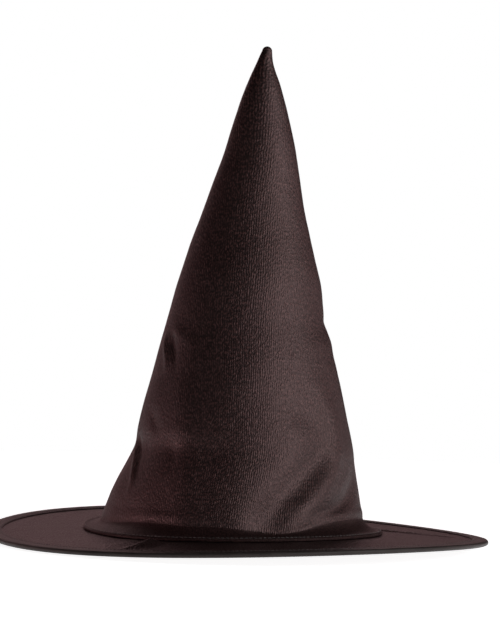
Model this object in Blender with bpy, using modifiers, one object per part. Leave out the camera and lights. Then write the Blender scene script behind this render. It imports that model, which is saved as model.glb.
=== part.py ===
"""Witch hat: a stiffened satin cone sewn to a round, wire-edged brim.

Metres, +Z up.  The origin is the centre of the brim's underside, and -Y is the front.
Every piece is made flat and round first, and then moved to where the worn hat holds it:
the crown leans and flattens as it rises, and it sits a little off the brim's centre.
"""
import math

import bmesh
import bpy
from mathutils import Matrix

# ---- driving dimensions, in metres ------------------------------------------------
BRIM_RADIUS = 0.190
OPENING_RADIUS = 0.096
HAT_HEIGHT = 0.375
CROWN_CENTRE_X = -0.0035
GAP = 0.0003

BINDING_CLOTH = 0.0005
COVER_CLOTH = 0.0004
STIFFENER_BOARD = 0.0014
CROWN_CLOTH = 0.0008
INTERLINING_CLOTH = 0.0006

BINDING_WIDTH = 0.012
COVER_EDGE_RADIUS = 0.1845
WIRE_RING_RADIUS = 0.1865
WIRE_RADIUS = 0.0008
WIRE_END_GAP = 0.0010
JOINER_BORE_RADIUS = 0.00115
JOINER_OUTER_RADIUS = 0.00145
JOINER_LENGTH = 0.014

FOOT_HEIGHT = 0.0175
FLANGE_RADIUS = 0.1135
FLARE_WIDTH = 0.0125
FLARE_START = math.radians(15)

SWEATBAND_CLOTH = 0.0007
SWEATBAND_TOP = 0.029
LABEL_SIZE = (0.022, 0.0003, 0.026)
LABEL_LEAN = math.radians(8)
THREAD_RADIUS = 0.00025

SIDES = 48
JOINER_SIDES = 12
WIRE_POINTS = 80

# height, half width across the hat, sideways centre, and depth as a share of the width
CROWN_STATIONS = (
    (0.0175, 0.0976, -0.0035, 1.00),
    (0.0490, 0.0900, -0.0015, 0.99),
    (0.0830, 0.0800, 0.0015, 0.96),
    (0.1290, 0.0697, 0.0020, 0.92),
    (0.1750, 0.0579, 0.0022, 0.86),
    (0.2200, 0.0471, 0.0041, 0.80),
    (0.2770, 0.0314, 0.0077, 0.76),
    (0.3230, 0.0192, 0.0100, 0.76),
    (0.3520, 0.0100, 0.0106, 0.80),
    (0.3690, 0.0045, 0.0120, 0.90),
    (0.3750, 0.0000, 0.0131, 1.00),
)

# the brim's layers, stacked from the underside up
BINDING_LOW_TOP = BINDING_CLOTH
BOTTOM_COVER_Z = BINDING_LOW_TOP + GAP
STIFFENER_Z = BOTTOM_COVER_Z + COVER_CLOTH + GAP
TOP_COVER_Z = STIFFENER_Z + STIFFENER_BOARD + GAP
BRIM_TOP = TOP_COVER_Z + COVER_CLOTH
BINDING_HIGH_Z = BRIM_TOP + GAP
BINDING_TOP = BINDING_HIGH_Z + BINDING_CLOTH
BRIM_MIDDLE = BINDING_TOP / 2
BINDING_INNER_RADIUS = BRIM_RADIUS - BINDING_WIDTH
FLANGE_Z = BRIM_TOP + GAP
FLANGE_TOP = FLANGE_Z + CROWN_CLOTH


# ---- scene and materials ----------------------------------------------------------
def clear_scene():
    for item in list(bpy.data.objects):
        bpy.data.objects.remove(item, do_unlink=True)


def new_collection(name):
    collection = bpy.data.collections.new(name)
    bpy.context.scene.collection.children.link(collection)
    return collection


def material(name, colour, roughness, metallic=0.0):
    made = bpy.data.materials.new(name)
    made.use_nodes = True
    shader = made.node_tree.nodes["Principled BSDF"]
    shader.inputs["Base Color"].default_value = (*colour, 1.0)
    shader.inputs["Roughness"].default_value = roughness
    shader.inputs["Metallic"].default_value = metallic
    made.diffuse_color = (*colour, 1.0)
    return made


# ---- how the hat holds its shape --------------------------------------------------
def station_value(height, column):
    """Smooth value of one column of CROWN_STATIONS at a height."""
    rows = CROWN_STATIONS
    if height <= rows[0][0]:
        return rows[0][column]
    if height >= rows[-1][0]:
        return rows[-1][column]
    low = max(i for i, row in enumerate(rows) if row[0] <= height)
    before = rows[max(low - 1, 0)]
    start = rows[low]
    end = rows[low + 1]
    after = rows[min(low + 2, len(rows) - 1)]
    span = end[0] - start[0]
    part = (height - start[0]) / span
    slope_in = (end[column] - before[column]) / (end[0] - before[0]) * span
    slope_out = (after[column] - start[column]) / (after[0] - start[0]) * span
    square = part * part
    cube = square * part
    return (
        (2 * cube - 3 * square + 1) * start[column]
        + (cube - 2 * square + part) * slope_in
        + (3 * square - 2 * cube) * end[column]
        + (cube - square) * slope_out
    )


def wall_radius(height):
    """Half width of the crown's outer face, carried straight on below the foot."""
    if height >= FOOT_HEIGHT:
        return station_value(height, 1)
    first, second = CROWN_STATIONS[0], CROWN_STATIONS[1]
    slope = (second[1] - first[1]) / (second[0] - first[0])
    return first[1] + slope * (height - first[0])


def crown_place(point):
    """Lean and flatten a point of the crown that was turned about the Z axis."""
    x, y, z = point
    return x + station_value(z, 2), y * station_value(z, 3), z


def brim_place(point):
    """Slide a flat point of the brim: the opening is off centre, and the edge is not."""
    x, y, z = point
    reach = (BRIM_RADIUS - math.hypot(x, y)) / (BRIM_RADIUS - OPENING_RADIUS)
    return x + CROWN_CENTRE_X * min(max(reach, 0.0), 1.0), y, z


# ---- makers -----------------------------------------------------------------------
def add_object(name, data, collection, look):
    made = bpy.data.objects.new(name, data)
    data.materials.append(look)
    collection.objects.link(made)
    return made


def turned_mesh(name, profile, closed, sides):
    """Turn a profile of (radius, height) points about Z; it runs down its outer side."""
    outline = bpy.data.meshes.new(name + "_profile")
    count = len(profile)
    edges = [(i, i + 1) for i in range(count - 1)]
    if closed:
        edges.append((count - 1, 0))
    outline.from_pydata([(radius, 0.0, z) for radius, z in profile], edges, [])
    source = bpy.data.objects.new(name + "_profile", outline)
    bpy.context.scene.collection.objects.link(source)
    screw = source.modifiers.new("Turn", "SCREW")
    screw.steps = sides
    screw.render_steps = sides
    screw.use_merge_vertices = True
    screw.merge_threshold = 0.00001
    bpy.context.view_layer.update()
    graph = bpy.context.evaluated_depsgraph_get()
    mesh = bpy.data.meshes.new_from_object(source.evaluated_get(graph))
    bpy.data.objects.remove(source, do_unlink=True)
    return mesh


def face_outwards(mesh):
    work = bmesh.new()
    work.from_mesh(mesh)
    bmesh.ops.recalc_face_normals(work, faces=work.faces)
    work.to_mesh(mesh)
    work.free()


def turned(name, profile, collection, look, place, closed=True, sides=SIDES):
    mesh = turned_mesh(name, profile, closed, sides)
    for vertex in mesh.vertices:
        vertex.co = place(vertex.co)
    face_outwards(mesh)
    mesh.shade_smooth()
    mesh.set_sharp_from_angle(angle=math.radians(40))
    return add_object(name, mesh, collection, look)


def flat_ring(name, inner, outer, low, high, collection, look, place):
    profile = [(inner, high), (outer, high), (outer, low), (inner, low)]
    return turned(name, profile, collection, look, place)


def line(name, points, radius, collection, look, cyclic=False):
    """A thread or a wire: a round section drawn along points."""
    curve = bpy.data.curves.new(name, "CURVE")
    curve.dimensions = "3D"
    curve.bevel_depth = radius
    curve.bevel_resolution = 1
    curve.use_fill_caps = not cyclic
    spline = curve.splines.new("POLY")
    spline.points.add(len(points) - 1)
    for target, point in zip(spline.points, points):
        target.co = (*point, 1.0)
    spline.use_cyclic_u = cyclic
    return add_object(name, curve, collection, look)


def circle_points(radius, z, count, place):
    """Points round a full circle, spaced like the turned pieces' sides."""
    points = []
    for i in range(count):
        angle = 2 * math.pi * i / count
        points.append(place((radius * math.cos(angle), radius * math.sin(angle), z)))
    return points


# ---- the crown --------------------------------------------------------------------
def wall_heights(low, high):
    """Heights of the crown's rings: the lowest one, and then one at each station."""
    return [low] + [row[0] for row in CROWN_STATIONS if low < row[0] <= high]


def flare(offset, count=6):
    """The curve from the crown's wall out to its flange, top to bottom."""
    depth = (FOOT_HEIGHT - FLANGE_TOP) / (1 - math.sin(FLARE_START))
    middle_x = wall_radius(FOOT_HEIGHT) + FLARE_WIDTH * math.cos(FLARE_START)
    middle_z = FLANGE_TOP + depth
    points = []
    for i in range(1, count + 1):
        angle = FLARE_START + (math.pi / 2 - FLARE_START) * i / count
        reach = FLARE_WIDTH + offset
        fall = depth + offset
        points.append((middle_x - reach * math.cos(angle), middle_z - fall * math.sin(angle)))
    return points


def make_crown_shell(collection, look):
    outer_wall = [(wall_radius(z), z) for z in wall_heights(FOOT_HEIGHT, 0.370)]
    inner_wall = [(r - CROWN_CLOTH, z) for r, z in outer_wall]
    profile = [(0.0, HAT_HEIGHT)] + outer_wall[::-1] + flare(0.0)
    profile += [(FLANGE_RADIUS, FLANGE_TOP), (FLANGE_RADIUS, FLANGE_Z)]
    profile += flare(CROWN_CLOTH)[::-1] + inner_wall
    profile += [(0.0, HAT_HEIGHT - 2 * CROWN_CLOTH)]
    turned("crown_shell", profile, collection, look, crown_place, closed=False)


def make_interlining(collection, look):
    outside = CROWN_CLOTH + 2 * GAP
    heights = wall_heights(0.0145, 0.353)
    outer = [(wall_radius(z) - outside, z) for z in heights]
    inner = [(r - INTERLINING_CLOTH, z) for r, z in outer]
    top = heights[-1] + 0.006
    profile = [(0.0, top)] + outer[::-1] + inner + [(0.0, top - 3 * INTERLINING_CLOTH)]
    turned("crown_interlining", profile, collection, look, crown_place, closed=False)


def make_crown_seam(collection, look):
    """The thread of the centre-back seam, on the inside of the interlining."""
    inside = CROWN_CLOTH + 2 * GAP + INTERLINING_CLOTH + 2 * GAP + THREAD_RADIUS
    points = []
    for z in wall_heights(0.036, 0.340):
        x, y, z = crown_place((0.0, wall_radius(z), z))
        points.append((x, y - inside, z))
    line("crown_seam_stitching", points, THREAD_RADIUS, collection, look)


def make_foot_stitching(collection, look):
    """The thread that holds the crown's flange down on the brim."""
    z = FLANGE_TOP + GAP + THREAD_RADIUS
    points = circle_points(FLANGE_RADIUS - 0.003, z, SIDES, crown_place)
    line("foot_stitching", points, THREAD_RADIUS, collection, look, cyclic=True)


# ---- the brim ---------------------------------------------------------------------
def make_brim_layers(collection, cover_look, board_look):
    layers = (
        ("brim_bottom_cover", BOTTOM_COVER_Z, COVER_CLOTH, cover_look),
        ("brim_stiffener", STIFFENER_Z, STIFFENER_BOARD, board_look),
        ("brim_top_cover", TOP_COVER_Z, COVER_CLOTH, cover_look),
    )
    for name, low, thickness, look in layers:
        flat_ring(name, OPENING_RADIUS, COVER_EDGE_RADIUS, low, low + thickness,
                  collection, look, brim_place)


def edge_arc(radius, turn_from, turn_to, count):
    """Part of the binding's rolled edge, about the middle of the brim's thickness."""
    middle = BRIM_RADIUS - BRIM_MIDDLE
    points = []
    for i in range(count + 1):
        angle = turn_from + (turn_to - turn_from) * i / count
        points.append((middle + radius * math.cos(angle), BRIM_MIDDLE + radius * math.sin(angle)))
    return points


def make_binding(collection, look):
    quarter = math.pi / 2
    inner = BINDING_INNER_RADIUS
    outer_roll = edge_arc(BRIM_MIDDLE, quarter, -quarter, 8)
    inner_roll = edge_arc(BRIM_MIDDLE - BINDING_CLOTH, -quarter, quarter, 6)
    profile = [(inner, BINDING_TOP)] + outer_roll + [(inner, 0.0), (inner, BINDING_LOW_TOP)]
    profile += inner_roll + [(inner, BINDING_HIGH_Z)]
    turned("brim_edge_binding", profile, collection, look, brim_place)


def make_binding_stitching(collection, look):
    """One thread line along each edge of the binding, beside the leg it holds."""
    radius = BINDING_INNER_RADIUS - GAP - THREAD_RADIUS
    heights = (
        ("binding_stitching_top", BRIM_TOP + GAP + THREAD_RADIUS),
        ("binding_stitching_bottom", BOTTOM_COVER_Z - GAP - THREAD_RADIUS),
    )
    for name, z in heights:
        points = circle_points(radius, z, SIDES, brim_place)
        line(name, points, THREAD_RADIUS, collection, look, cyclic=True)


def make_wire(collection, look):
    """A spring wire ring, open at the back by a small gap."""
    half_gap = WIRE_END_GAP / 2 / WIRE_RING_RADIUS
    start = math.pi / 2 + half_gap
    sweep = 2 * math.pi - 2 * half_gap
    points = []
    for i in range(WIRE_POINTS + 1):
        angle = start + sweep * i / WIRE_POINTS
        flat = (WIRE_RING_RADIUS * math.cos(angle), WIRE_RING_RADIUS * math.sin(angle))
        points.append((*flat, BRIM_MIDDLE))
    line("brim_wire", points, WIRE_RADIUS, collection, look)


def make_wire_joiner(collection, look):
    """The crimp sleeve that the wire's two ends sit in."""
    half = JOINER_LENGTH / 2
    profile = [
        (JOINER_BORE_RADIUS, half),
        (JOINER_OUTER_RADIUS, half),
        (JOINER_OUTER_RADIUS, -half),
        (JOINER_BORE_RADIUS, -half),
    ]
    lie_down = Matrix.Rotation(math.pi / 2, 4, "Y")
    move = Matrix.Translation((0.0, WIRE_RING_RADIUS, BRIM_MIDDLE))
    turned("brim_wire_joiner", profile, collection, look,
           lambda point: move @ lie_down @ point, sides=JOINER_SIDES)


# ---- inside the opening -----------------------------------------------------------
def make_sweatband(collection, look):
    inside_wall = CROWN_CLOTH + INTERLINING_CLOTH + 5 * GAP
    foot = OPENING_RADIUS - 2.5 * GAP
    middle = 0.5 * SWEATBAND_TOP
    outer = [
        (foot, BOTTOM_COVER_Z),
        (foot, middle),
        (wall_radius(SWEATBAND_TOP) - inside_wall, SWEATBAND_TOP),
    ]
    inner = [(r - SWEATBAND_CLOTH, z) for r, z in outer]
    turned("sweatband", outer[::-1] + inner, collection, look, crown_place)


def make_sweatband_stitching(collection, look):
    """The thread line near the sweatband's lower edge, on its inner face."""
    radius = OPENING_RADIUS - 3.5 * GAP - SWEATBAND_CLOTH - THREAD_RADIUS
    points = circle_points(radius, BRIM_MIDDLE, SIDES, crown_place)
    line("sweatband_stitching", points, THREAD_RADIUS, collection, look, cyclic=True)


def make_care_label(collection, look):
    """A blank label that hangs inside the sweatband, at the back."""
    mesh = bpy.data.meshes.new("care_label")
    work = bmesh.new()
    bmesh.ops.create_cube(work, size=1.0)
    bmesh.ops.scale(work, vec=LABEL_SIZE, verts=work.verts)
    lean = Matrix.Rotation(LABEL_LEAN, 4, "X")
    place = Matrix.Translation((CROWN_CENTRE_X, OPENING_RADIUS - 0.0058, 0.021))
    bmesh.ops.transform(work, matrix=place @ lean, verts=work.verts)
    work.to_mesh(mesh)
    work.free()
    add_object("care_label", mesh, collection, look)


def main():
    clear_scene()
    hat = new_collection("witch_hat")
    satin = material("crown_satin", (0.075, 0.050, 0.052), 0.42)
    cover = material("brim_satin", (0.070, 0.045, 0.047), 0.50)
    binding = material("binding_tape", (0.055, 0.050, 0.050), 0.55)
    board = material("stiffener_board", (0.10, 0.10, 0.10), 0.90)
    wool = material("interlining_felt", (0.12, 0.12, 0.12), 0.95)
    ribbon = material("sweatband_ribbon", (0.03, 0.03, 0.03), 0.70)
    thread = material("thread", (0.04, 0.03, 0.03), 0.60)
    label = material("label_tape", (0.80, 0.80, 0.78), 0.60)
    steel = material("wire_steel", (0.55, 0.56, 0.58), 0.35, 1.0)
    sleeve = material("joiner_metal", (0.70, 0.70, 0.70), 0.40, 1.0)

    make_crown_shell(hat, satin)
    make_interlining(hat, wool)
    make_crown_seam(hat, thread)
    make_foot_stitching(hat, thread)
    make_brim_layers(hat, cover, board)
    make_binding(hat, binding)
    make_binding_stitching(hat, thread)
    make_wire(hat, steel)
    make_wire_joiner(hat, sleeve)
    make_sweatband(hat, ribbon)
    make_sweatband_stitching(hat, thread)
    make_care_label(hat, label)


main()
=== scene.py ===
"""Looks of the witch hat: satin crown with its settled folds, set brim, bound edge, stitches.

Metres, +Z up, -Y is the front.  Angles round the crown are in degrees from the front,
positive towards +X.  Heights in the tables are in millimetres above the flat brim's underside.
"""
import math

import bpy
import numpy as np
from mathutils import Matrix, Vector, noise


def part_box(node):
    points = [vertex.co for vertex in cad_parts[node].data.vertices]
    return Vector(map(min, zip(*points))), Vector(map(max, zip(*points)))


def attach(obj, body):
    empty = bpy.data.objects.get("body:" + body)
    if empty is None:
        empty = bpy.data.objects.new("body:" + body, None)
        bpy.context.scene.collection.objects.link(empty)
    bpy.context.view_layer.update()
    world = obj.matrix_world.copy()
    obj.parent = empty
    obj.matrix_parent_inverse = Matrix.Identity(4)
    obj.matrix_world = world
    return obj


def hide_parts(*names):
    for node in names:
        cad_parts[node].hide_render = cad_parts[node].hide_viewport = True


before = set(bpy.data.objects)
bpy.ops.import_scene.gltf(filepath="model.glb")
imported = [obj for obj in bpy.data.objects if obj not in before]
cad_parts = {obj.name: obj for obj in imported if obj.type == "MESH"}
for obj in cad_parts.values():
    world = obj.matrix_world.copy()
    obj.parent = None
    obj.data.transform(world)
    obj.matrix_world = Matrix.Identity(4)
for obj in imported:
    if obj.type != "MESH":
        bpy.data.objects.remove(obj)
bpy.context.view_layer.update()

MM = 0.001
RIB_PITCH = 0.0015

# ---- sizes read from the frame ----
_, BINDING_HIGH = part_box("brim_edge_binding")
BRIM_RADIUS = BINDING_HIGH.x
BINDING_TOP = BINDING_HIGH.z
BRIM_MIDDLE = BINDING_TOP / 2
BOTTOM_COVER_LOW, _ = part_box("brim_bottom_cover")
STIFFENER_LOW, STIFFENER_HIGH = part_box("brim_stiffener")
TOP_COVER_LOW, TOP_COVER_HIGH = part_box("brim_top_cover")
COVER_EDGE_RADIUS = TOP_COVER_HIGH.y
WIRE_LOW, WIRE_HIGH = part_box("brim_wire")
WIRE_RADIUS = (WIRE_HIGH.z - WIRE_LOW.z) / 2
WIRE_RING_RADIUS = WIRE_HIGH.x - WIRE_RADIUS
JOINER_LOW, JOINER_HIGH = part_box("brim_wire_joiner")
SHELL_LOW, SHELL_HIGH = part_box("crown_shell")
FLANGE_RADIUS = (SHELL_HIGH.x - SHELL_LOW.x) / 2
CROWN_CENTRE_X = (SHELL_HIGH.x + SHELL_LOW.x) / 2
HAT_HEIGHT = SHELL_HIGH.z
SWEATBAND_LOW, SWEATBAND_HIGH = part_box("sweatband")
SWEATBAND_RADIUS = (SWEATBAND_HIGH.x - SWEATBAND_LOW.x) / 2
OPENING_RADIUS = 0.096
BINDING_WIDTH = 0.012
BINDING_CLOTH = 0.0005
BINDING_INNER_RADIUS = BRIM_RADIUS - BINDING_WIDTH
CROWN_CLOTH = 0.0008
INTERLINING_CLOTH = 0.0006
LINING_GAP = 0.0012
LINED_WALL = CROWN_CLOTH + LINING_GAP + INTERLINING_CLOTH + 0.0012

# ---- how the brim has set: tipped, twisted, drooping a little to the edge ----
SET_LIFT = 0.0049
SET_SADDLE = -0.0015
SET_TWIST = -0.0036
SET_TIP_BACK = 0.0007
SET_TIP_RIGHT = 0.0002
SET_DOME = 0.0012
CROWN_LIFT = 0.0022

# ---- the crown's outline: height, left side and right side, in millimetres ----
OUTLINE = (
    (14.5, -102.8, 94.4), (38, -95.3, 91.5), (60, -84.7, 88.0), (70, -80.0, 86.6),
    (85, -77.8, 83.2), (100, -74.4, 79.6), (130, -66.6, 72.8), (152, -61.5, 66.8),
    (168, -57.4, 62.4), (176, -55.2, 61.0), (198, -49.2, 57.8), (220, -42.3, 51.8),
    (265, -26.9, 41.2), (288, -19.2, 37.6), (311, -12.8, 33.2), (346, -1.9, 23.6),
    (363, 5.4, 17.6), (372, 9.2, 16.6),
)
# height in millimetres, and the crown's depth as a share of its width
DEPTH_SHARE = ((14.5, 1.0), (60, 0.98), (130, 0.92), (200, 0.84), (280, 0.78), (372, 0.85))
TIP_HEIGHT = 372.0
TIP_TOP = HAT_HEIGHT / MM
FOOT_HEIGHT = 14.5
CONE_RADIUS = 97.0
WAVE_TOP = 36.0
SKIRT_WIDTH = FLANGE_RADIUS / MM - 98.0
HEM_RISE = 0.9

# how far the foot's edge dips (below 0) or rises round the hat: angle and millimetres
FOOT_WAVE = (
    (-90, -2.2), (-75, -3.0), (-60, -1.2), (-40, 1.6), (-20, 0.4), (0, -0.8), (10, -3.4), (18, -5.6),
    (27, -4.4), (38, -0.6), (52, 3.0), (68, 3.4), (84, 1.6), (110, 0.0), (150, 1.2), (190, -0.6),
    (230, 1.0), (270, -2.2),
)

# ---- folds of the crown: name, width and height in millimetres, and its path ----
# each path point is an angle, a height and a strength from 0 to 1
FOLDS = (
    ("kink_lip", 2.8, 1.7,
     ((-84, 77, 0.2), (-77, 70, 1.0), (-71, 62, 1.0), (-65, 52, 0.9), (-61, 42, 0.4), (-60, 32, 0.0))),
    ("kink_valley", 2.6, -1.1,
     ((-76, 78, 0.2), (-71, 71, 1.0), (-66, 63, 0.9), (-61, 53, 0.6), (-57, 43, 0.0))),
    ("left_flat", 24.0, -1.4, ((-68, 112, 0.2), (-63, 86, 0.7), (-60, 60, 1.0), (-58, 28, 0.9))),
    ("left_corner", 17.0, 1.8, ((-42, 130, 0.2), (-33, 93, 0.7), (-26, 57, 1.0), (-22, 25, 0.8))),
    ("dimple_lip", 3.6, 1.5, ((-74, 157, 0.1), (-69, 148, 1.0), (-63, 138, 1.0), (-59, 127, 0.1))),
    ("dimple_hollow", 4.4, -1.6, ((-63, 157, 0.2), (-59, 150, 1.0), (-54, 141, 1.0), (-50, 130, 0.2))),
    ("dimple_brow", 5.0, 0.8, ((-66, 161, 0.3), (-57, 158, 0.9), (-45, 153, 0.9), (-36, 146, 0.2))),
    ("front_valley", 14.0, -4.6,
     ((53, 76, 0.2), (42, 67, 0.9), (30, 51, 1.0), (21, 36, 1.0), (14, 21, 0.8))),
    ("front_ridge", 11.0, 2.6,
     ((50, 118, 0.2), (57, 96, 0.7), (58, 78, 0.9), (53, 63, 1.0), (44, 46, 1.0), (36, 34, 0.9),
      (28, 21, 0.5))),
    ("patch_valley", 15.0, -2.0, ((22, 116, 0.3), (31, 106, 1.0), (40, 95, 1.0), (48, 84, 0.4))),
    ("foot_hollow", 9.0, -2.6, ((76, 50, 0.3), (62, 36, 1.0), (50, 25, 0.8), (40, 19, 0.3))),
    ("right_buckle", 5.0, -1.0, ((104, 170, 0.2), (86, 166, 1.0), (70, 162, 0.4), (52, 156, 0.0))),
    ("right_buckle_lip", 7.0, 0.8, ((108, 156, 0.3), (86, 151, 1.0), (66, 148, 0.4))),
    ("left_dent", 6.0, -0.9, ((-66, 98, 0.4), (-58, 90, 1.0), (-50, 80, 0.3))),
    ("left_low_dent", 6.0, -0.7, ((-42, 78, 0.3), (-38, 66, 1.0), (-34, 54, 0.2))),
    ("centre_hollow", 15.0, -1.0, ((-24, 84, 0.3), (-20, 56, 1.0), (-17, 28, 0.5))),
    ("back_valley", 9.0, -4.0, ((150, 112, 0.1), (140, 86, 1.0), (126, 60, 0.9), (116, 34, 0.3))),
    ("back_ridge", 9.0, 3.0, ((168, 118, 0.1), (158, 90, 1.0), (146, 60, 0.9), (136, 34, 0.3))),
    ("back_left_valley", 8.0, -3.6, ((-112, 96, 0.1), (-126, 74, 1.0), (-142, 52, 0.8), (-152, 30, 0.2))),
    ("back_left_ridge", 9.0, 2.6, ((-104, 74, 0.2), (-118, 54, 1.0), (-132, 36, 0.6))),
    ("back_buckle", 7.0, -2.4, ((-132, 182, 0.1), (-150, 174, 1.0), (-168, 168, 0.8), (166, 160, 0.1))),
    ("back_dimple", 8.0, -2.2, ((122, 196, 0.2), (132, 180, 1.0), (138, 160, 0.2))),
)

# the same for the brim's top satin: each path point is x, y and a strength
BRIM_FOLDS = (
    ("pinch_lip", 5.4, 4.6,
     ((-60, -112, 0.5), (-61.5, -123, 1.0), (-65.5, -135, 1.0), (-72.5, -146, 0.7), (-83, -153, 0.1))),
    ("pinch_back", 10.0, 0.8, ((-68, -102, 0.2), (-76, -112, 1.0), (-86, -122, 0.8), (-98, -130, 0.1))),
    ("side_crease", 1.8, 1.4,
     ((95, 50, 0.6), (112, 38, 1.0), (133, 24, 1.0), (156, 10, 0.7), (170, 2, 0.1))),
)


# ---- small helpers ----
def smooth(value, low, high):
    part = np.clip((value - low) / (high - low), 0.0, 1.0)
    return part * part * (3.0 - 2.0 * part)


def curve_through(rows, at):
    """Smooth values of each column of rows at the places given, by their first column."""
    table = np.array(rows, float)
    places = table[:, 0]
    at = np.clip(np.asarray(at, float), places[0], places[-1])
    slopes = np.gradient(table[:, 1:], places, axis=0)
    index = np.clip(np.searchsorted(places, at, side="right") - 1, 0, len(places) - 2)
    span = (places[index + 1] - places[index])[..., None]
    part = (at[..., None] - places[index][..., None]) / span
    square, cube = part ** 2, part ** 3
    return (
        (2 * cube - 3 * square + 1) * table[index, 1:]
        + (cube - 2 * square + part) * slopes[index] * span
        + (3 * square - 2 * cube) * table[index + 1, 1:]
        + (cube - square) * slopes[index + 1] * span
    )


def ripple(points, scale, seed):
    """Smooth noise, about -1 to 1, at each point of an (..., 3) array."""
    shift = Vector((seed * 7.31, seed * 3.77, seed * 5.13))
    flat = points.reshape(-1, 3) / scale
    values = [noise.noise(Vector(p) + shift) for p in flat]
    return np.array(values).reshape(points.shape[:-1])


def grid_normals(points):
    """Outward normals of a grid of rings: first axis top to bottom, second axis round."""
    down = np.gradient(points, axis=0)
    round_it = np.roll(points, -1, axis=1) - np.roll(points, 1, axis=1)
    normal = np.cross(down, round_it)
    length = np.linalg.norm(normal, axis=2, keepdims=True)
    return normal / np.maximum(length, 1e-12)


def full_turn(count):
    return np.linspace(0, 2 * math.pi, count, endpoint=False)


def ring_faces(rings, columns, close_rings=False):
    """Quads between neighbouring rings of vertices that go all the way round."""
    last = rings if close_rings else rings - 1
    faces = []
    for i in range(last):
        upper = i * columns
        lower = ((i + 1) % rings) * columns
        for j in range(columns):
            k = (j + 1) % columns
            faces.append((upper + j, lower + j, lower + k, upper + k))
    return faces


def cap_fans(faces, first, last, base, columns):
    """Close a tube at both ends with fans round the points first and last."""
    for j in range(columns):
        k = (j + 1) % columns
        faces.append((first, j, k))
        faces.append((last, base + k, base + j))


def make_mesh(name, points, faces, look, smooth_angle):
    mesh = bpy.data.meshes.new(name)
    mesh.from_pydata([tuple(p) for p in points], [], faces)
    mesh.validate()
    mesh.shade_smooth()
    mesh.set_sharp_from_angle(angle=math.radians(smooth_angle))
    mesh.materials.append(look)
    made = bpy.data.objects.new(name, mesh)
    bpy.context.scene.collection.objects.link(made)
    return made


def add_uv(piece, name, coordinates):
    """Give every vertex a place on the flat cut, in metres, as a UV map."""
    layer = piece.data.uv_layers.new(name=name)
    count = len(piece.data.loops)
    index = np.zeros(count, int)
    piece.data.loops.foreach_get("vertex_index", index)
    layer.data.foreach_set("uv", np.asarray(coordinates, np.float32)[index].ravel())


def settle(piece, slot, *nodes):
    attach(piece, "root")
    if nodes:
        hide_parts(*nodes)
    return piece


# ---- the brim's set ----
def brim_lift(x, y):
    """How far the set brim stands above the flat one at a place."""
    reach = np.hypot(x, y) / BRIM_RADIUS
    angle = np.arctan2(y, x)
    share = reach ** 2
    saddle = SET_SADDLE * np.cos(2 * angle) + SET_TWIST * np.sin(2 * angle)
    dome = SET_DOME * (1.0 - smooth(reach, 0.5, 0.93))
    tip = (SET_TIP_BACK * y + SET_TIP_RIGHT * x) / BRIM_RADIUS
    return SET_LIFT + share * saddle + dome + tip


def brim_point(radius, angle, z):
    """A point of the set brim; the opening is off centre and the edge is not."""
    off = np.clip((BRIM_RADIUS - radius) / (BRIM_RADIUS - OPENING_RADIUS), 0.0, 1.0)
    x = radius * np.cos(angle) + CROWN_CENTRE_X * off
    y = radius * np.sin(angle)
    return np.stack(np.broadcast_arrays(x, y, z + brim_lift(x, y)), axis=-1)


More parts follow.
